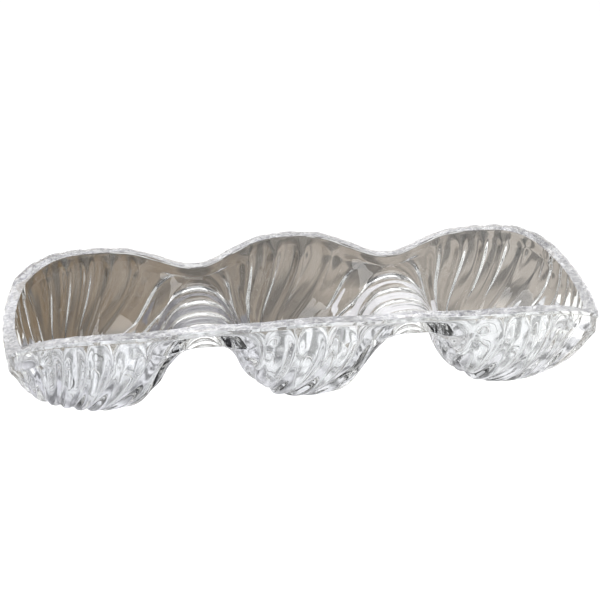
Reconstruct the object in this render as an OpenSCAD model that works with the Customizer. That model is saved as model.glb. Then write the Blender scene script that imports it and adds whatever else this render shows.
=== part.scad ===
// Three-bowl chip and dip server in clear pressed glass.
// Millimetres, +Z up. The origin is on the resting plane, under the middle of the centre bowl.
// +X runs along the row of bowls. The outside follows the crests of the swirled flutes.

/* [Plan of the rim] */
// Distance between the two corners of one long side
corner_len = 351; // [342:1:364]
// Distance between neighbouring bowl centres
pitch = 124; // [120:1:127]
// Half width of the rim beside the centre bowl
centre_half_w = 60; // [58:0.5:63]
// Half width of the rim beside an end bowl
end_half_w = 58.5; // [57:0.5:62]
// Half width of the rim at the necks between the bowls
neck_half_w = 43.5; // [40:0.5:47]
// Half width of the rim at the end corners
corner_half_w = 47.5; // [43:0.5:50]
// How far each end of the rim bows outwards
end_bow = 5.5; // [2:0.5:8]

/* [Height of the rim] */
// Top of the rim beside the centre bowl
centre_h = 73; // [70:0.5:78]
// Top of the rim beside an end bowl
end_h = 70; // [67:0.5:76]
// Top of the rim at the necks
neck_h = 63; // [60:0.5:66]
// Top of the rim at the end corners
corner_h = 58.5; // [56:0.5:65]
// How far the end rim dips between its corners
end_dip = 1.5; // [0:0.5:3]

/* [Glass] */
// Width of the flat top of the rim
rim_t = 7.5; // [6:0.5:8]
// Height of the plain band under the rim
band_h = 6; // [4:0.5:8]
// Wall thickness of the bowls
wall_t = 5.5; // [4:0.5:6.5]
// Glass above the resting plane at the middle of a bowl
floor_t = 7; // [6:0.5:9]
// Thickness of the glass bridge between two bowls
saddle_t = 6.5; // [5:0.5:8]
// Drop from the rim band down to the ends of a saddle
saddle_drop = 1; // [0.5:0.5:3]
// How much lower the middle of a saddle lies than its ends
saddle_sag = 2; // [0:0.5:5]

/* [Foot] */
// Radius of each flat foot
foot_r = 21; // [19:0.5:25]
// Height of each foot
foot_h = 2.5; // [1.5:0.5:4]

/* [Smoothness] */
// Facets along one long side of a bowl
side_parts = 14; // [8:2:16]
// Facets along an end of the rim
end_parts = 10; // [6:2:12]
// Facets across a saddle
crest_parts = 8; // [6:2:10]
// Rows of facets from a foot up to the rim
rows = 9; // [6:3:9]

/* [Hidden] */

corner_x = corner_len / 2;
neck_x = pitch / 2;
// Upright glass below the rim band, outside and inside: the round part of a wall ends under it
upright_h = [saddle_drop + saddle_t, saddle_drop];
saddle_row = rows * 2 / 3;           // the row of facets where a bowl hands over to a saddle

// Exponents of the rim's waves, seen from above and from the side
plan_wave = [3.0, 2.4];
side_wave = [2.5, 2.35];
// Exponent of the rim's fall from an end bowl to its corners
end_wave = 3.3;
// How far the roundness of a saddle reaches to either side of its crest
saddle_round = 27;
// How sharply a wall flares out to the rim, and the share of the height that is upright
flare_turn = 4.5;
upright = 0.53;
// How much sooner the walls beside a neck start to flare, which widens the arch under a saddle
neck_pull = 5;
// Radial reach of the round underside and of the inner floor before the walls turn upwards
outer_guide = [28, 4.5];
inner_guide = [26, 2.5];
inner_floor_r = foot_r - 6;
// Softness of the change from the bowed end to the round bowl
end_soft = 1.5;
glass = [0.82, 0.83, 0.82, 0.55];

// ---- outline of the rim ----

function wave(u, e) = pow(1 - pow(min(abs(u), 1), e[0]), e[1]);

// Share of the way from the lowest to the highest point of the rim's wave at x
function wave_at(x, e) =
    abs(x) > pitch
    ? 1 - pow((abs(x) - pitch) / (corner_x - pitch), end_wave)
    : wave((x - bowl_x(x)) / neck_x, e);

function bowl_x(x) = abs(x) < neck_x ? 0 : sign(x) * pitch;

function blend(a, b, share) = a + (b - a) * share;

function rim_y(x) =
    blend(
        abs(x) > pitch ? corner_half_w : neck_half_w,
        abs(x) < neck_x ? centre_half_w : end_half_w,
        wave_at(x, plan_wave)
    );

function rim_z(x) =
    blend(
        abs(x) > pitch ? corner_h : neck_h,
        abs(x) < neck_x ? centre_h : end_h,
        wave_at(x, side_wave)
    );

// Inner edge of the rim: the end bowls give up the rim's width at their outer end too
function inner_x(x) =
    abs(x) <= neck_x
    ? x
    : sign(x) * blend(neck_x, corner_x - rim_t, (abs(x) - neck_x) / (corner_x - neck_x));

// A station holds the outer and inner point at the underside of the rim band, how close the
// station is to a neck and how steep its wall is, both from 0 to 1, and whether it is on a crest
function side_station(x, s) =
    let (
        z = rim_z(x) - band_h,
        from_neck = min(abs(abs(x) - neck_x) / saddle_round, 1)
    )
    [
        [x, s * rim_y(x), z],
        [inner_x(x), s * (rim_y(x) - rim_t), z],
        abs(x) > pitch ? 0 : pow(1 - wave_at(x, plan_wave), 2),
        1 - sqrt(1 - pow(from_neck, 2)),
        false
    ];

function end_station(v) =
    let (bow = end_bow * (1 - v * v), z = corner_h - band_h - end_dip * (1 - v * v))
    [
        [corner_x + bow, v * corner_half_w, z],
        [corner_x + bow - rim_t, v * (corner_half_w - rim_t), z],
        0,
        1,
        false
    ];

function crest_station(x, v) =
    let (z = neck_h - band_h - saddle_sag * (1 - v * v))
    [
        [x, v * neck_half_w, z],
        [x, v * (neck_half_w - rim_t), z],
        1,
        0,
        true
    ];

// Even steps from a to b; the last one is left to the next run unless it is asked for
function run(a, b, parts, whole = false) =
    [for (i = [0:parts - (whole ? 0 : 1)]) a + (b - a) * i / parts];

function long_side(from_x, to_x, s) =
    [for (x = run(from_x, to_x, side_parts)) side_station(x, s)];

function end_arc(s) = [for (v = run(-s, s, end_parts)) mirror_x(end_station(v), s)];

function mirror_x(station, s) =
    [for (p = station) is_list(p) ? [s * p[0], p[1], p[2]] : p];

function crest(x, from_v, to_v, whole = false) =
    [for (v = run(from_v, to_v, crest_parts, whole)) crest_station(x, sin(90 * v))];

// Stations run anticlockwise, seen from above
right_cell = concat(
    end_arc(1),
    long_side(corner_x, neck_x, 1),
    crest(neck_x, 1, -1),
    long_side(neck_x, corner_x, -1)
);
centre_cell = concat(
    crest(neck_x, -1, 1),
    long_side(neck_x, -neck_x, 1),
    crest(-neck_x, 1, -1),
    long_side(-neck_x, neck_x, -1)
);
rim_loop = concat(
    end_arc(1),
    long_side(corner_x, neck_x, 1),
    long_side(neck_x, -neck_x, 1),
    long_side(-neck_x, -corner_x, 1),
    end_arc(-1),
    long_side(-corner_x, -neck_x, -1),
    long_side(-neck_x, neck_x, -1),
    long_side(neck_x, corner_x, -1)
);

// ---- glass walls ----

function bezier(a, b, c, d, t) =
    a * pow(1 - t, 3) + 3 * b * t * pow(1 - t, 2) + 3 * c * t * t * (1 - t) + d * pow(t, 3);

function soft_min(a, b) = -end_soft * ln(exp(-a / end_soft) + exp(-b / end_soft));

// A point at share t of the way from the foot to the top of the round wall below a station.
// side is 0 for the outside of the glass and 1 for the inside.
function wall_point(cx, station, side, t) =
    let (
        top = station[side] - [0, 0, upright_h[side]],
        centre = [cx, 0],
        away = [top[0], top[1]] - centre,
        reach = norm(away),
        round_r = (cx == 0 ? centre_half_w : end_half_w) - side * wall_t - neck_pull * station[2],
        corner_reach = norm([neck_x, neck_half_w - side * rim_t]),
        bulge_r = station[4] ? reach - corner_reach + round_r : soft_min(round_r, reach),
        bulge_z = top[2] * (1 - upright * station[3]),
        start_r = side == 0 ? foot_r : inner_floor_r,
        start_z = side == 0 ? foot_h : floor_t,
        guide = [start_r, start_z] + (side == 0 ? outer_guide : inner_guide),
        r = bezier(start_r, guide[0], bulge_r, bulge_r, t)
            + (reach - bulge_r) * pow(t, flare_turn),
        z = bezier(start_z, guide[1], bulge_z, top[2], t),
        flat = centre + away * r / reach
    )
    [flat[0], flat[1], z];

// ---- closed skins over a grid of stations and rows ----

function quad(a, b, c, d) = [[a, b, c], [a, c, d]];

// Two faces of a run of glass: index of the point at column i, row j on one side
function at(i, j, side, columns, levels) = (side * columns + i % columns) * levels + j;

module ring_bowl(cx, cell) {
    columns = len(cell);
    // The last level is the underside of the rim band, straight above the round wall
    last = rows + 1;
    levels = last + 1;
    points = [
        for (side = [0, 1], station = cell, j = [0:last])
            j == last ? station[side] : wall_point(cx, station, side, j / rows)
    ];
    filled = function(i, j)
        j < saddle_row || !(on_crest(cell[i % columns]) && on_crest(cell[(i + 1) % columns]));
    o = function(i, j) at(i, j, 0, columns, levels);
    n = function(i, j) at(i, j, 1, columns, levels);
    faces = concat(
        [[for (i = [0:columns - 1]) o(i, 0)]],
        [[for (i = [columns - 1:-1:0]) n(i, 0)]],
        [
            for (i = [0:columns - 1], j = [0:last - 1])
                if (filled(i, j)) each concat(
                    quad(o(i, j), o(i, j + 1), o(i + 1, j + 1), o(i + 1, j)),
                    quad(n(i, j), n(i + 1, j), n(i + 1, j + 1), n(i, j + 1)),
                    j == last - 1 || !filled(i, j + 1)
                        ? quad(o(i, j + 1), n(i, j + 1), n(i + 1, j + 1), o(i + 1, j + 1)) : [],
                    !filled(i + 1, j)
                        ? quad(o(i + 1, j), o(i + 1, j + 1), n(i + 1, j + 1), n(i + 1, j)) : [],
                    !filled(i + columns - 1, j)
                        ? quad(o(i, j), n(i, j), n(i, j + 1), o(i, j + 1)) : []
                )
        ]
    );
    polyhedron(points, faces);
}

// A crest runs between the two neck corners, which belong to the long sides as well
function on_crest(station) = abs(abs(station[0][0]) - neck_x) < 0.01;

// One saddle: the upper rows of the end bowl's wall, then those of the centre bowl's wall
module saddle_body() {
    line = crest(neck_x, 1, -1, true);
    half = rows - saddle_row;
    columns = len(line);
    levels = 2 * half + 1;
    points = [
        for (side = [0, 1], station = line, j = [0:2 * half])
            j <= half
            ? wall_point(pitch, station, side, (saddle_row + j) / rows)
            : wall_point(0, station, side, (saddle_row + 2 * half - j) / rows)
    ];
    o = function(i, j) at(i, j, 0, columns, levels);
    n = function(i, j) at(i, j, 1, columns, levels);
    last = columns - 1;
    faces = concat(
        [
            for (i = [0:last - 1], j = [0:2 * half - 1]) each concat(
                quad(o(i, j), o(i, j + 1), o(i + 1, j + 1), o(i + 1, j)),
                quad(n(i, j), n(i + 1, j), n(i + 1, j + 1), n(i, j + 1))
            )
        ],
        [
            for (i = [0:last - 1]) each concat(
                quad(o(i, 0), o(i + 1, 0), n(i + 1, 0), n(i, 0)),
                quad(o(i, 2 * half), n(i, 2 * half), n(i + 1, 2 * half), o(i + 1, 2 * half))
            )
        ],
        [
            for (j = [0:2 * half - 1]) each concat(
                quad(o(0, j), n(0, j), n(0, j + 1), o(0, j + 1)),
                quad(o(last, j), o(last, j + 1), n(last, j + 1), n(last, j))
            )
        ]
    );
    polyhedron(points, faces);
}

module foot_disc(cx) {
    translate([cx, 0, 0])
        cylinder(r = foot_r, h = foot_h, $fn = 96);
}

// ---- the zones of the pressing ----

module rim() {
    columns = len(rim_loop);
    points = [
        for (station = rim_loop, side = [0, 1], lift = [0, band_h])
            station[side] + [0, 0, lift]
    ];
    // Corner k of a station's section: outer foot, outer top, inner foot, inner top
    c = function(i, k) (i % columns) * 4 + k;
    faces = [
        for (i = [0:columns - 1], edge = [[0, 1], [1, 3], [3, 2], [2, 0]])
            each quad(c(i, edge[0]), c(i, edge[1]), c(i + 1, edge[1]), c(i + 1, edge[0]))
    ];
    color(glass) polyhedron(points, faces);
}

module right_bowl() {
    color(glass) ring_bowl(pitch, right_cell);
}

module left_bowl() {
    color(glass) mirror([1, 0, 0]) ring_bowl(pitch, right_cell);
}

module centre_bowl() {
    color(glass) ring_bowl(0, centre_cell);
}

module right_saddle() {
    color(glass) saddle_body();
}

module left_saddle() {
    color(glass) mirror([1, 0, 0]) saddle_body();
}

module left_foot() {
    color(glass) foot_disc(-pitch);
}

module centre_foot() {
    color(glass) foot_disc(0);
}

module right_foot() {
    color(glass) foot_disc(pitch);
}

rim();
left_bowl();
centre_bowl();
right_bowl();
left_saddle();
right_saddle();
left_foot();
centre_foot();
right_foot();
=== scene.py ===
import math

import bpy
import bmesh
import numpy as np
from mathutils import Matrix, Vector


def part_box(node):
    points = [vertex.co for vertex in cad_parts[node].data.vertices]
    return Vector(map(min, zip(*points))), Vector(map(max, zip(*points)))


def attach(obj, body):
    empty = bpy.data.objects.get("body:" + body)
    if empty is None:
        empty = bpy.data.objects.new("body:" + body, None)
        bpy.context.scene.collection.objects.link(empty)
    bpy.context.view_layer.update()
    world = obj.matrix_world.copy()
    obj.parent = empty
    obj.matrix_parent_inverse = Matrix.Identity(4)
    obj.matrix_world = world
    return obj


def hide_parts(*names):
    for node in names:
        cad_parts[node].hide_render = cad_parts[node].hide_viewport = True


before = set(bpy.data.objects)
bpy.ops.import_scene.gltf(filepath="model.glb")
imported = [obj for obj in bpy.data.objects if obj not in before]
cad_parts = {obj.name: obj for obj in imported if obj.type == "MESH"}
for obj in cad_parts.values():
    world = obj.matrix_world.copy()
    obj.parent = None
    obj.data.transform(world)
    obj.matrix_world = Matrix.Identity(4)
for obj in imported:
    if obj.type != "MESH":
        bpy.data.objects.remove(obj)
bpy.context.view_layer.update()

mm = 0.001               # the frame is in metres, the shapes below are worked out in millimetres

glassNodes = [
    "rim", "left_bowl", "centre_bowl", "right_bowl", "left_saddle", "right_saddle",
    "left_foot", "centre_foot", "right_foot",
]


def boxInMm(node):
    low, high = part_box(node)
    return [c / mm for c in low], [c / mm for c in high]


rimLow, rimHigh = boxInMm("rim")
footLow, footHigh = boxInMm("right_foot")
bowlHigh = boxInMm("centre_bowl")[1]
endHigh = boxInMm("right_bowl")[1]
print("stage 1: frame read, rim", [round(h - l, 1) for l, h in zip(rimLow, rimHigh)], "mm")

# ---- the server: one pressing with three bowls, two saddles and a wavy rim ----

server = {
    "pitch": (footLow[0] + footHigh[0]) / 2,     # between neighbouring bowl centres
    "endBow": 5.5,               # how far each end of the rim bows outwards
    "centreHalfW": bowlHigh[1],  # half widths of the rim
    "endHalfW": endHigh[1],
    "neckHalfW": 43.5,
    "cornerHalfW": 47.5,
    "centreH": rimHigh[2],       # heights of the rim's top
    "endH": 70.0,
    "neckH": 63.0,
    "cornerH": 58.5,
    "endDip": 1.5,               # the middle of an end lies this much lower than its corners
    "rimT": 7.5,                 # width of the rim's flat top
    "bandH": 6.0,                # plain band under it
    "wallT": 5.5,
    "floorT": 7.0,
    "saddleDrop": 1.0,
    "saddleSag": 2.0,            # the middle of a saddle lies this much lower than its ends
    "footR": (footHigh[0] - footLow[0]) / 2,
    "footH": footHigh[2],
    "footRecess": 0.7,
    "footRows": ((5.5, 1), (4.8, 0), (3.5, 0), (0.6, 0)),    # in from the foot's edge, share of recess
    "footEdge": (0.5, 1.2),      # heights that round the foot's edge
    "hubRows": (3.0, 9.0),       # radii of the first rows round the middle of a bowl
    "floorHollow": (1.25, 1.2, 0.9),         # how much lower the floor is at the middle and those rows
    "floorInset": 6.0,           # the flat of the floor ends this far inside the foot
    "outerGuide": (28.0, 4.5),   # radial reach and rise of the underside before it turns upwards
    "innerGuide": (26.0, 2.5),   # the same of the floor inside
    "endSoft": 1.5,              # mm, softness of the change from a round wall to the bowed end
    "planWave": (3.0, 2.4),      # exponents of the rim's waves, from above and from the side
    "sideWave": (2.5, 2.35),
    "endWave": 3.3,              # exponent of the rim's fall from an end bowl to its corners
    "wallDrop": 7.5,             # upright glass under the band, which the arches stop short of
    "flareTurn": 4.5,            # a higher number flares the wall later and more sharply
    "upright": 0.53,             # share of the wall's height that stands upright, away from saddles
    "neckPull": 5.0,             # mm that the walls beside a neck are drawn in
    "saddleRound": 27.0,         # how far a saddle's roundness reaches either side of its crest
    "edgeRound": 0.7,            # fire-polished rounding of the rim's edges
    "edgeCut": 0.315,            # mm that the cage is cut back at those edges
    "topReach": 0.5,             # mm of height that belong to the frosted top of the rim, which carries the painted highlight
}
server["cornerX"] = rimHigh[0] - server["endBow"]
server["neckX"] = server["pitch"] / 2
server["bandZ"] = server["neckH"] - server["bandH"]

flutes = {
    "count": 20,                 # round the centre bowl
    "endCrowd": 1.4,             # so much closer together round the outer half of an end bowl; the
                                 # quarter circle must gain a whole number of flutes
    "depth": 2.4,                # crest to groove at the widest part of a bowl
    "sweep": 0.9,                # radians that a flute leans over between rim and foot
    "sweepTurn": 1.6,            # a higher number keeps the lean closer to the foot
    "grooveTurn": 4.0,           # a higher number makes the groove narrower
    "archLength": 15.0,          # mm of a flute's rounded top
    "archReach": 0.75,           # how nearly the groove closes over the top of a flute
    "topDepth": 0.4,             # share of the depth left at the top of a flute
    "topReach": 18.0,            # mm below that, where the flute has its full depth
    "footDepth": 0.5,            # share of the depth left near the foot
    "footReach": 32.0,           # height where the flute has its full depth
    "footGap": 1.0,              # plain glass round the foot, in mm
    "footFade": 16.0,            # mm over which the flutes come in from there
    "lip": 1.8,                  # plain glass on the outside between the rim's top and the flutes
    "ledge": 1.6,                # mm over which the glass steps down to the flutes
    "rimRipple": 0.25,           # mm that the rim gives way between flutes
    "rippleReach": 3.0,          # mm below the rim's top where that ends
    "plainFloor": 20.0,          # radius of the floor without echo, and mm over which it comes in
    "echo": 0.4,                 # mm that a flute stands out on the inside, below the band
    "saddleRibs": 3,             # finer ribs on top of a saddle, so many to a flute
    "saddleEcho": 0.3,           # and their height in mm
    "saddleReach": 26.0,         # how far those ribs reach either side of a neck
}


def mix(a, b, share):
    return a + (b - a) * share


def wave(u, e):
    return (1 - min(abs(u), 1) ** e[0]) ** e[1]


def bowlX(x):
    return 0.0 if abs(x) < server["neckX"] else math.copysign(server["pitch"], x)


def waveAt(x, e):
    s = server
    if abs(x) > s["pitch"]:
        return 1 - ((abs(x) - s["pitch"]) / (s["cornerX"] - s["pitch"])) ** s["endWave"]
    return wave((x - bowlX(x)) / s["neckX"], e)


def rimY(x):
    s = server
    low = s["cornerHalfW"] if abs(x) > s["pitch"] else s["neckHalfW"]
    high = s["centreHalfW"] if abs(x) < s["neckX"] else s["endHalfW"]
    return mix(low, high, waveAt(x, s["planWave"]))


def rimZ(x):
    s = server
    low = s["cornerH"] if abs(x) > s["pitch"] else s["neckH"]
    high = s["centreH"] if abs(x) < s["neckX"] else s["endH"]
    return mix(low, high, waveAt(x, s["sideWave"]))


def innerX(x):
    s = server
    if abs(x) <= s["neckX"]:
        return x
    share = (abs(x) - s["neckX"]) / (s["cornerX"] - s["neckX"])
    return math.copysign(mix(s["neckX"], s["cornerX"] - s["rimT"], share), x)


# A station is one upright slice of the glass: its outer and inner point at the top of the bowl's
# own wall, the underside of the rim band above them and how near the slice is to a neck
def station(outer, inner, bandZ, near=0.0, upright=1.0, crest=False):
    s = server
    return {"outer": (*outer, bandZ - s["wallDrop"]), "inner": (*inner, bandZ - s["saddleDrop"]),
            "bandZ": bandZ, "near": near, "upright": upright, "crest": crest}


def sideStation(x, side):
    s = server
    near = 0.0 if abs(x) > s["pitch"] else (1 - waveAt(x, s["planWave"])) ** 2
    fromNeck = min(abs(abs(x) - s["neckX"]) / s["saddleRound"], 1)
    return station((x, side * rimY(x)), (innerX(x), side * (rimY(x) - s["rimT"])),
                   rimZ(x) - s["bandH"], near, 1 - math.sqrt(1 - fromNeck ** 2))


def endStation(v, end):
    s = server
    bow = s["endBow"] * (1 - v * v)
    return station((end * (s["cornerX"] + bow), v * s["cornerHalfW"]),
                   (end * (s["cornerX"] + bow - s["rimT"]), v * (s["cornerHalfW"] - s["rimT"])),
                   s["cornerH"] - s["bandH"] - s["endDip"] * (1 - v * v))


def crestStation(x, v):
    s = server
    return station((x, v * s["neckHalfW"]), (x, v * (s["neckHalfW"] - s["rimT"])),
                   s["bandZ"] - s["saddleSag"] * (1 - v * v), 1.0, 0.0, True)


def bezier(a, b, c, d, t):
    return a * (1 - t) ** 3 + 3 * b * t * (1 - t) ** 2 + 3 * c * t * t * (1 - t) + d * t ** 3


def softMin(a, b):
    soft = server["endSoft"]
    return -soft * math.log(math.exp(-a / soft) + math.exp(-b / soft))


def wallPoint(cx, slot, skin, t):
    s = server
    top = slot[skin]
    inside = 1 if skin == "inner" else 0
    ax, ay = top[0] - cx, top[1]
    reach = math.hypot(ax, ay)
    roundR = (s["centreHalfW"] if cx == 0 else s["endHalfW"]) - inside * s["wallT"]
    roundR -= s["neckPull"] * slot["near"]
    cornerReach = math.hypot(s["neckX"], s["neckHalfW"] - inside * s["rimT"])
    bulgeR = reach - cornerReach + roundR if slot["crest"] else softMin(roundR, reach)
    bulgeZ = top[2] * (1 - s["upright"] * slot["upright"])
    startR, startZ = (s["footR"] - s["floorInset"], s["floorT"]) if inside else (s["footR"], s["footH"])
    outwards, upwards = s["innerGuide"] if inside else s["outerGuide"]
    r = bezier(startR, startR + outwards, bulgeR, bulgeR, t) + (reach - bulgeR) * t ** s["flareTurn"]
    z = bezier(startZ, startZ + upwards, bulgeZ, top[2], t)
    return cx + ax * r / reach, ay * r / reach, z


# ---- cage of the pressing ----

cage = {
    "sideParts": 18,             # slices along one long side of a bowl
    "crestParts": 14,            # slices across a saddle
    "endShares": (0.0, 0.33, 0.62, 0.84, 0.965),         # slices from the middle of an end to its corner
    "cornerGap": 0.9,            # mm from an end corner to the next slice
    "rise": (0.0, 0.12, 0.26, 0.4, 0.54, 0.67, 0.79, 0.89, 0.97, 1.0),      # rows from foot to band
    "dropShares": (0.8, 0.4, 0.08),          # rows of the upright glass under the band
    "bandRows": (0.0, 1.5, 3.0),             # mm, rows on the outside of the band
    "weldReach": 0.02,           # mm between points that are one
    "rimSkin": 0.05,             # points whose skin value is nearer to 0 than this are the rim's
    "levels": 3,                 # subdivision levels
}


def sideRun(fromX, toX, side):
    n = cage["sideParts"]
    xs = [mix(fromX, toX, i / n) for i in range(n + 1)]
    if abs(abs(fromX) - server["cornerX"]) < cage["weldReach"]:
        xs.insert(1, fromX - math.copysign(cage["cornerGap"], fromX))
    if abs(abs(toX) - server["cornerX"]) < cage["weldReach"]:
        xs.insert(-1, toX - math.copysign(cage["cornerGap"], toX))
    return [sideStation(x, side) for x in xs]


def endRun(end):
    shares = cage["endShares"]
    vs = [-v for v in reversed(shares[1:])] + list(shares)
    return [endStation(end * v, end) for v in vs]


def crestRun(x, fromV, toV):
    n = cage["crestParts"]
    steps = [mix(fromV, toV, i / n) for i in range(1, n)]
    return [crestStation(x, math.sin(math.pi / 2 * v)) for v in steps]


def cellStations(cx):
    nx, ex = server["neckX"], server["cornerX"]
    if cx > 0:
        return endRun(1) + sideRun(ex, nx, 1) + crestRun(nx, 1, -1) + sideRun(nx, ex, -1)
    if cx < 0:
        return crestRun(-nx, -1, 1) + sideRun(-nx, -ex, 1) + endRun(-1) + sideRun(-ex, -nx, -1)
    return crestRun(nx, -1, 1) + sideRun(nx, -nx, 1) + crestRun(-nx, 1, -1) + sideRun(-nx, nx, -1)


def sliceOf(cx, slot):
    # rows of one slice, from the middle of the foot up the outside, over the rim and down inside;
    # a row is x, y, z, skin, rise
    s = server
    outer = [wallPoint(cx, slot, "outer", t) for t in cage["rise"]]
    inner = [wallPoint(cx, slot, "inner", t) for t in cage["rise"]]
    ox, oy = outer[0][0] - cx, outer[0][1]
    ux, uy = ox / math.hypot(ox, oy), oy / math.hypot(ox, oy)
    footR, recess = s["footR"], s["footRecess"]
    foot = [(r, recess) for r in s["hubRows"]]
    foot += [(footR - inset, recess * share) for inset, share in s["footRows"]]
    foot += [(footR, z) for z in s["footEdge"]]
    ix, iy = inner[0][0] - cx, inner[0][1]
    vx, vy = ix / math.hypot(ix, iy), iy / math.hypot(ix, iy)
    floor = [(r, s["floorT"] - low) for r, low in zip(s["hubRows"][::-1], s["floorHollow"][::-1])]
    below = [(cx + ux * r, uy * r, z, 0.0, 0.0) for r, z in foot]
    below += [(*p, 1.0, t) for p, t in zip(outer, cage["rise"])]
    above = [(*p, -1.0, t) for p, t in zip(reversed(inner), reversed(cage["rise"]))]
    above += [(cx + vx * r, vy * r, z, -1.0, 0.0) for r, z in floor]
    rim = []
    if not slot["crest"]:
        (px, py, _), (qx, qy, _) = outer[-1], inner[-1]
        wide = math.hypot(px - qx, py - qy)
        dx, dy = (qx - px) / wide, (qy - py) / wide
        bandZ, drop = slot["bandZ"], s["wallDrop"]
        e, cut, top = 2 * s["edgeRound"], s["edgeCut"], bandZ + s["bandH"]
        rim = [(px, py, bandZ - drop * k, 1.0, 1.0) for k in cage["dropShares"]]
        rim += [(px, py, bandZ + z, 1.0, 1.0) for z in cage["bandRows"]]
        section = [(0, top - e), (0, top - cut), (cut, top), (e, top),
                   (wide - e, top), (wide - cut, top), (wide, top - cut), (wide, top - e)]
        rim += [(px + dx * d, py + dy * d, z, 0.0, 1.0) for d, z in section]
    return below, rim, above


def buildCage():
    mesh = bmesh.new()
    skinLayer = mesh.verts.layers.float.new("skin")      # 1 outside, -1 inside, 0 rim and foot
    riseLayer = mesh.verts.layers.float.new("rise")      # 0 at the foot, 1 under the rim band
    bandLayer = mesh.verts.layers.float.new("bandZ")     # underside of the band above this slice
    for cx in (-server["pitch"], 0.0, server["pitch"]):
        slots = cellStations(cx)
        grid = []
        for slot in slots:
            runs = []
            for rows in sliceOf(cx, slot):
                run = []
                for x, y, z, skin, rise in rows:
                    vert = mesh.verts.new((x, y, z))
                    vert[skinLayer], vert[riseLayer], vert[bandLayer] = skin, rise, slot["bandZ"]
                    run.append(vert)
                runs.append(run)
            grid.append(runs)
        n = len(grid)
        # the points in the middle of the foot and of the floor: run, row, height, skin
        hubs = ((0, 0, server["footRecess"], 0.0),
                (2, -1, server["floorT"] - server["floorHollow"][0], -1.0))
        for run, end, z, skin in hubs:
            hub = mesh.verts.new((cx, 0, z))
            hub[skinLayer], hub[bandLayer] = skin, server["bandZ"]
            for i in range(n):
                mesh.faces.new((hub, grid[i][run][end], grid[(i + 1) % n][run][end]))
        for i in range(n):
            a, b = grid[i], grid[(i + 1) % n]
            pairs = [(a[0], b[0]), (a[2], b[2])]
            if a[1] and b[1]:
                pairs = [(a[0] + a[1] + a[2], b[0] + b[1] + b[2])]
            for p, q in pairs:
                for j in range(len(p) - 1):
                    mesh.faces.new((p[j], p[j + 1], q[j + 1], q[j]))
    bmesh.ops.remove_doubles(mesh, verts=mesh.verts, dist=cage["weldReach"])
    bmesh.ops.recalc_face_normals(mesh, faces=mesh.faces)
    data = bpy.data.meshes.new("cage")
    mesh.to_mesh(data)
    mesh.free()
    return data


def smoothed(data):
    # the cage's smooth surface, as plain mesh data with the three layers carried over
    holder = bpy.data.objects.new("cage", data)
    bpy.context.scene.collection.objects.link(holder)
    rounding = holder.modifiers.new("rounding", "SUBSURF")
    rounding.levels = rounding.render_levels = cage["levels"]
    graph = bpy.context.evaluated_depsgraph_get()
    fine = bpy.data.meshes.new_from_object(holder.evaluated_get(graph))
    bpy.data.objects.remove(holder)
    bpy.data.meshes.remove(data)
    return fine


def layerOf(data, name):
    values = np.empty(len(data.vertices), dtype=np.float32)
    data.attributes[name].data.foreach_get("value", values)
    return values.astype(float)


def smoothStep(x):
    x = np.clip(x, 0, 1)
    return x * x * (3 - 2 * x)


def fluteShare(x, y, rise, below, arched):
    # 0 on the crown of a flute, 1 in the groove; below is the distance under the top of the flutes
    s, f = server, flutes
    half = s["neckX"]
    cx = np.where(np.abs(x) < half, 0.0, np.sign(x) * s["pitch"])
    dx = x - cx
    towardsNeck = (cx == 0) | (np.sign(dx) != np.sign(cx))
    # near a saddle the flutes turn to run straight over it
    bent = dx - np.sign(dx) * np.abs(dx) ** 4 / (4 * half ** 3)
    angle = np.arctan2(y, np.where(towardsNeck, bent, dx))
    lean = f["sweep"] * (1 - np.clip(rise, 0, 1)) ** f["sweepTurn"]
    # every flute leans the same way along the row; on each bowl's left they crowd together
    side = np.abs(np.sin(angle))
    side = np.sign(y) * np.where(np.cos(angle) < 0, 1 - (1 - side) ** 2, side)
    fromEnd = np.where(cx < 0, angle - math.pi * np.sign(y), angle)
    crowd = np.where(towardsNeck, 0, (f["endCrowd"] - 1) * fromEnd)
    phase = f["count"] * (angle + crowd - lean * side)
    across = np.abs((phase / (2 * math.pi) + 0.5) % 1 - 0.5) * 2
    arch = f["archReach"] * np.clip(1 - below / f["archLength"], 0, 1) * arched
    return np.minimum(np.hypot(across, arch), 1)


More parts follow.
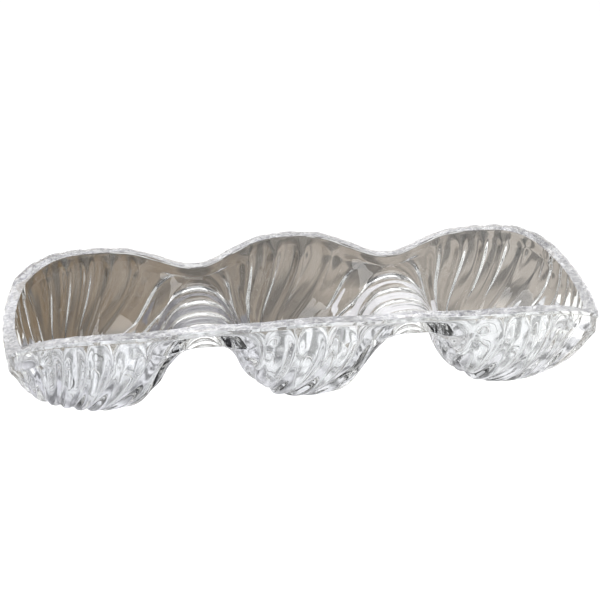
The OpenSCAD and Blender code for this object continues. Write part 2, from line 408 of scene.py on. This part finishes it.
def pressFlutes(data):
    f = flutes
    n = len(data.vertices)
    points = np.empty(n * 3)
    data.vertices.foreach_get("co", points)
    points = points.reshape(n, 3)
    normals = np.empty(n * 3)
    data.vertex_normals.foreach_get("vector", normals)
    normals = normals.reshape(n, 3)
    skin, rise, bandZ = (layerOf(data, name) for name in ("skin", "rise", "bandZ"))
    x, y, z = points.T
    outside, inside = np.clip(skin, 0, 1), np.clip(-skin, 0, 1)
    cx = np.where(np.abs(x) < server["neckX"], 0.0, np.sign(x) * server["pitch"])
    radius = np.hypot(x - cx, y)
    onSaddle = smoothStep(1 - np.abs(np.abs(x) - server["neckX"]) / f["saddleReach"])
    # outside the flutes start just under the rim's top, inside they start below the plain band
    below = bandZ - z + outside * (server["bandH"] - f["lip"])
    share = fluteShare(x, y, rise, below, 1 - onSaddle * inside)
    groove = np.sin(share * math.pi / 2) ** f["grooveTurn"]
    start = smoothStep(below / f["ledge"])
    deep = f["depth"] * mix(f["topDepth"], 1, smoothStep(below / f["topReach"])) * start
    deep *= mix(f["footDepth"], 1, smoothStep(z / f["footReach"]))
    deep *= smoothStep((radius - server["footR"] - f["footGap"]) / f["footFade"])
    saddleRibs = f["saddleEcho"] * (0.5 + 0.5 * np.cos(f["saddleRibs"] * math.pi * share))
    echo = mix(f["echo"] * (1 - groove), saddleRibs, onSaddle) * start
    echo *= smoothStep((radius - f["plainFloor"]) / f["plainFloor"])
    top = smoothStep(1 - (bandZ - z + server["bandH"]) / f["rippleReach"]) * (1 - np.abs(skin))
    atRim = fluteShare(x, y, np.ones(n), below, 0)
    ripple = np.sin(atRim * math.pi / 2) ** 2
    push = echo * inside - deep * groove * outside - f["rimRipple"] * ripple * top
    points += normals * push[:, None]
    data.vertices.foreach_set("co", (points * mm).ravel())
    data.update()


def facesOnRimTop(data):
    skin, bandZ = layerOf(data, "skin"), layerOf(data, "bandZ")
    topZ = bandZ + server["bandH"] - server["topReach"]
    onTop = [abs(skin[v.index]) < cage["rimSkin"] and v.co.z / mm > topZ[v.index]
             for v in data.vertices]
    return [face.index for face in data.polygons if all(onTop[v] for v in face.vertices)]


serverData = smoothed(buildCage())
pressFlutes(serverData)
rimTop = facesOnRimTop(serverData)
for layer in ("skin", "rise", "bandZ"):
    serverData.attributes.remove(serverData.attributes[layer])
serverData.shade_smooth()
serverData.name = "pressed_server"
serverGlass = bpy.data.objects.new("pressed_server", serverData)
bpy.context.scene.collection.objects.link(serverGlass)
serverGlass.visible_shadow = False       # clear glass lets nearly all the light through to the floor
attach(serverGlass, "root")
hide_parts(*glassNodes)
print("stage 2: server pressed,", len(serverData.vertices), "points")

# ---- materials ----


def linear(hexColour):
    channels = [int(hexColour[i:i + 2], 16) / 255 for i in (1, 3, 5)]
    return tuple(c / 12.92 if c <= 0.04045 else ((c + 0.055) / 1.055) ** 2.4 for c in channels) + (1.0,)


def addNode(tree, kind, settings=None, links=None):
    # settings: property or socket name to value; links: socket name to another node's output
    node = tree.nodes.new(kind)
    for key, value in (settings or {}).items():
        if hasattr(node, key):
            setattr(node, key, value)
        else:
            node.inputs[key].default_value = value
    for key, output in (links or {}).items():
        tree.links.new(output, node.inputs[key])
    return node


def newMaterial(name):
    material = bpy.data.materials.new(name)
    material.use_nodes = True
    material.node_tree.nodes.clear()
    return material, material.node_tree


glassLook = {
    "colour": "#FBFCFB",
    "ior": 1.52,                 # soda-lime glass
    "polished": 0.0,
    "waveSize": 14.0,            # mm between the slow waves that fire polishing leaves
    "waveHeight": 0.12,          # mm
    "waveDetail": 1.0,
    "waveRoughness": 0.4,
}


def pressedGlass():
    # pressed and fire-polished soda-lime glass: clear, with slow waves that bend what is behind it
    material, tree = newMaterial("pressed_fire_polished_glass")
    where = addNode(tree, "ShaderNodeTexCoord")
    waves = addNode(tree, "ShaderNodeTexNoise",
                    {"Scale": 1 / (glassLook["waveSize"] * mm), "Detail": glassLook["waveDetail"],
                     "Roughness": glassLook["waveRoughness"]},
                    {"Vector": where.outputs["Object"]})
    bump = addNode(tree, "ShaderNodeBump",
                   {"Strength": 1.0, "Distance": glassLook["waveHeight"] * mm},
                   {"Height": waves.outputs[0]})
    shader = addNode(tree, "ShaderNodeBsdfPrincipled",
                     {"Base Color": linear(glassLook["colour"]), "Roughness": glassLook["polished"],
                      "IOR": glassLook["ior"], "Transmission Weight": 1.0},
                     {"Normal": bump.outputs["Normal"]})
    addNode(tree, "ShaderNodeOutputMaterial", None, {"Surface": shader.outputs["BSDF"]})
    return material


# painted highlight on the rim's flat top: whitish, broken by a speckle
rimLook = {
    "colours": ("#BDBCC4", "#FFFFFF"),
    "speckle": 2.2,              # mm across the unevenness that the mould leaves
    "speckleDetail": 2.0,
    "speckleRange": (0.35, 0.6), # part of the noise that runs from dull to bright
    "roughness": 0.18,
    "clear": 0.72,               # share of the light that goes through; the rest is scattered white as a painted highlight
}


def paintedHighlightRim():
    # faintly frosted soda-lime glass whose scattered white is a painted highlight for the light that the
    # rim's flat top catches: a bright band from every side
    material, tree = newMaterial("frosted_painted_highlight_glass")
    where = addNode(tree, "ShaderNodeTexCoord")
    speckle = addNode(tree, "ShaderNodeTexNoise",
                      {"Scale": 1 / (rimLook["speckle"] * mm), "Detail": rimLook["speckleDetail"]},
                      {"Vector": where.outputs["Object"]})
    low, high = rimLook["speckleRange"]
    spread = addNode(tree, "ShaderNodeMapRange", {"From Min": low, "From Max": high},
                     {"Value": speckle.outputs[0]})
    dull, bright = (linear(colour) for colour in rimLook["colours"])
    tone = addNode(tree, "ShaderNodeMixRGB", {"Color1": dull, "Color2": bright},
                   {"Fac": spread.outputs[0]})
    shader = addNode(tree, "ShaderNodeBsdfPrincipled",
                     {"Roughness": rimLook["roughness"], "IOR": glassLook["ior"],
                      "Transmission Weight": rimLook["clear"]},
                     {"Base Color": tone.outputs[0]})
    addNode(tree, "ShaderNodeOutputMaterial", None, {"Surface": shader.outputs["BSDF"]})
    return material


serverData.materials.append(pressedGlass())
serverData.materials.append(paintedHighlightRim())
# the faces on the rim's flat top take the painted highlight
for index in rimTop:
    serverData.polygons[index].material_index = 1
print("stage 3: glass ready")

# ---- floor, cards, light and camera ----


def card(name, size, place, surface, seenByCamera=False):
    # a flat studio card lying level; place in metres; a card that the camera doesn't see shows only
    # through the glass, as painted shade
    mesh = bpy.data.meshes.new(name)
    w, h = size[0] / 2, size[1] / 2
    mesh.from_pydata([(-w, -h, 0), (w, -h, 0), (w, h, 0), (-w, h, 0)], [], [(0, 1, 2, 3)])
    piece = bpy.data.objects.new(name, mesh)
    piece.location = place
    bpy.context.scene.collection.objects.link(piece)
    mesh.materials.append(surface)
    piece.visible_camera = seenByCamera
    if not seenByCamera:
        piece.visible_shadow = False
        piece.visible_diffuse = False
    return piece


# painted shade behind the server, seen only through the glass: the taupe tone of the far walls
backCard = {
    "size": (0.70, 0.80),
    "colours": ("#53422A", "#8E8780"),           # left and right, this far from the middle; painted shade, darker to the left
    "colourReach": 0.17,
    "streakSize": (0.022, 0.25),                 # across and along the painted dark and light streaks
    "streakTone": (0.42, 1.22),                  # how dark and how light the streaks are
    "fadeFrom": 0.110,                           # away from the server the board darkens from here, as painted shade
    "fadeTo": 0.122,                             # to here, down to farTone
    "farTone": 0.45,
}
# painted shade under the server, seen only through the front walls: grey with painted dark and light
# streaks
underCard = {
    "size": (0.42, 0.16),
    "colours": ("#A2A2A8", "#B6B6B9"),
    "colourReach": 0.17,
    "streakSize": (0.010, 0.030),
    "streakTone": (0.38, 1.34),
    "fadeFrom": 0.0,
    "fadeTo": 1.0,
    "farTone": 1.0,
}
# painted shade under the saddles, seen only through them
saddleCard = {
    "colours": ("#5C5A60", "#C4C2C6"),           # left and right; painted shade, darker under the left saddle
    "size": (0.050, 0.050),
    "behind": 0.048,             # its middle lies this far behind the middle of the server
    "lift": -0.0001,
}
board = {
    "roughness": 0.9,            # matt paint and the painted shade boards alike
    "streakDetail": 1.0,
    "streakRange": (0.38, 0.56), # part of the noise that runs from dark to light streaks
}
stage = {
    "floorColour": "#FDFDFC",
    "floorSize": (6.0, 6.0),
    "floorDrop": -0.0006,        # the floor and the cards lie a hair under the feet
    "cardDrop": -0.0003,
    "cardEdge": 0.058,           # where the two cards meet, behind the middle of the server
    "worldColour": "#FFFFFF",
    "worldStrength": 0.70,
    "glassBounces": 6,           # how often light is followed to and fro inside the glass
}


def mattPaint(name, colour):
    # matt paint: plain and pale on the floor, so that the glass draws its own lines; on the saddle cards
    # it is painted shade
    material, tree = newMaterial(name)
    shader = addNode(tree, "ShaderNodeBsdfPrincipled",
                     {"Base Color": linear(colour), "Roughness": board["roughness"]})
    addNode(tree, "ShaderNodeOutputMaterial", None, {"Surface": shader.outputs["BSDF"]})
    return material


def paintedShadeBoard(name, look):
    # painted shade board: the glass picks up its tone, darker to the left, and its painted dark and light
    # streaks
    material, tree = newMaterial(name)
    where = addNode(tree, "ShaderNodeTexCoord")
    parts = addNode(tree, "ShaderNodeSeparateXYZ", None, {"Vector": where.outputs["Object"]})
    reach = look["colourReach"]
    across = addNode(tree, "ShaderNodeMapRange", {"From Min": -reach, "From Max": reach},
                     {"Value": parts.outputs["X"]})
    left, right = (linear(colour) for colour in look["colours"])
    tone = addNode(tree, "ShaderNodeMixRGB", {"Color1": left, "Color2": right},
                   {"Fac": across.outputs[0]})
    wide, long = look["streakSize"]
    stretched = addNode(tree, "ShaderNodeMapping", {"Scale": (1 / wide, 1 / long, 1)},
                        {"Vector": where.outputs["Object"]})
    streaks = addNode(tree, "ShaderNodeTexNoise", {"Scale": 1.0, "Detail": board["streakDetail"]},
                      {"Vector": stretched.outputs[0]})
    dark, light = look["streakTone"]
    low, high = board["streakRange"]
    shade = addNode(tree, "ShaderNodeMapRange",
                    {"From Min": low, "From Max": high, "To Min": dark, "To Max": light},
                    {"Value": streaks.outputs[0]})
    nearSide = -look["size"][1] / 2
    # painted shade: the board darkens away from the server
    far = addNode(tree, "ShaderNodeMapRange",
                  {"From Min": nearSide + look["fadeFrom"], "From Max": nearSide + look["fadeTo"],
                   "To Min": 1.0, "To Max": look["farTone"]},
                  {"Value": parts.outputs["Y"]})
    streaked = addNode(tree, "ShaderNodeVectorMath", {"operation": "MULTIPLY"},
                       {0: tone.outputs[0], 1: shade.outputs[0]})
    faded = addNode(tree, "ShaderNodeVectorMath", {"operation": "MULTIPLY"},
                    {0: streaked.outputs[0], 1: far.outputs[0]})
    shader = addNode(tree, "ShaderNodeBsdfPrincipled", {"Roughness": board["roughness"]},
                     {"Base Color": faded.outputs[0]})
    addNode(tree, "ShaderNodeOutputMaterial", None, {"Surface": shader.outputs["BSDF"]})
    return material


card("floor", stage["floorSize"], (0, 0, stage["floorDrop"]),
     mattPaint("matt_painted_floor", stage["floorColour"]), True)
# the back card paints shade on the far walls
card("back_card", backCard["size"], (0, stage["cardEdge"] + backCard["size"][1] / 2, stage["cardDrop"]),
     paintedShadeBoard("painted_shade_taupe_board", backCard))
# the saddle cards paint shade into the saddles, darker on the left
for side, colour in zip((-1, 1), saddleCard["colours"]):
    card("saddle_card", saddleCard["size"],
         (side * server["neckX"] * mm, saddleCard["behind"], saddleCard["lift"]),
         mattPaint("saddle_painted_shade", colour))
# the under card paints grey shade and streaks into the front walls
card("under_card", underCard["size"], (0, stage["cardEdge"] - underCard["size"][1] / 2, stage["cardDrop"]),
     paintedShadeBoard("painted_shade_grey_board", underCard))


keyLook = {
    "place": (-0.7, -0.5, 1.3),
    "aim": (0, 0, 0),
    "size": (1.6, 1.6),
    "power": 28,
}
stripLook = {
    "place": (0.17, 1.28, 0.66),
    "aim": (0, 0, 0.06),
    "size": (3.0, 0.8),
    "power": 9,
}


def softLight(name, look):
    data = bpy.data.lights.new(name, "AREA")
    data.shape = "RECTANGLE"
    data.size, data.size_y = look["size"]
    data.energy = look["power"]
    lamp = bpy.data.objects.new(name, data)
    lamp.location = look["place"]
    towards = Vector(look["aim"]) - Vector(look["place"])
    lamp.rotation_euler = towards.to_track_quat("-Z", "Y").to_euler()
    bpy.context.scene.collection.objects.link(lamp)
    return lamp


# the key light is a big soft one that does not show in what is seen through the glass
keyLight = softLight("key_light", keyLook)
keyLight.visible_transmission = False
# the strip light only shows in the glass; it draws fine bright lines on the saddles
stripLight = softLight("strip_light", stripLook)
stripLight.visible_diffuse = False

world = bpy.data.worlds.new("studio")
world.use_nodes = True
world.node_tree.nodes.clear()
sky = addNode(world.node_tree, "ShaderNodeBackground",
              {"Color": linear(stage["worldColour"]), "Strength": stage["worldStrength"]})
addNode(world.node_tree, "ShaderNodeOutputWorld", None, {"Surface": sky.outputs["Background"]})
bpy.context.scene.world = world

view = {
    "azimuth": -7.65,            # degrees round from the front
    "elevation": 30.6,
    "distance": 0.835,           # metres
    "aimHeight": 0.034,
    "lens": 79.9,
    "sensor": 36.0,
    "shiftY": 0.0483,
}
a, e = math.radians(view["azimuth"]), math.radians(view["elevation"])
back = Vector((math.sin(a) * math.cos(e), -math.cos(a) * math.cos(e), math.sin(e)))
aim = Vector((0, 0, view["aimHeight"]))
cameraData = bpy.data.cameras.new("camera")
cameraData.sensor_width = view["sensor"]
cameraData.lens = view["lens"]
cameraData.shift_y = view["shiftY"]
camera = bpy.data.objects.new("camera", cameraData)
camera.location = aim + back * view["distance"]
camera.rotation_euler = (-back).to_track_quat("-Z", "Y").to_euler()
bpy.context.scene.collection.objects.link(camera)
bpy.context.scene.camera = camera
bpy.context.scene.view_settings.view_transform = "Standard"
bpy.context.scene.cycles.glossy_bounces = stage["glassBounces"]
print("stage 4: studio ready")
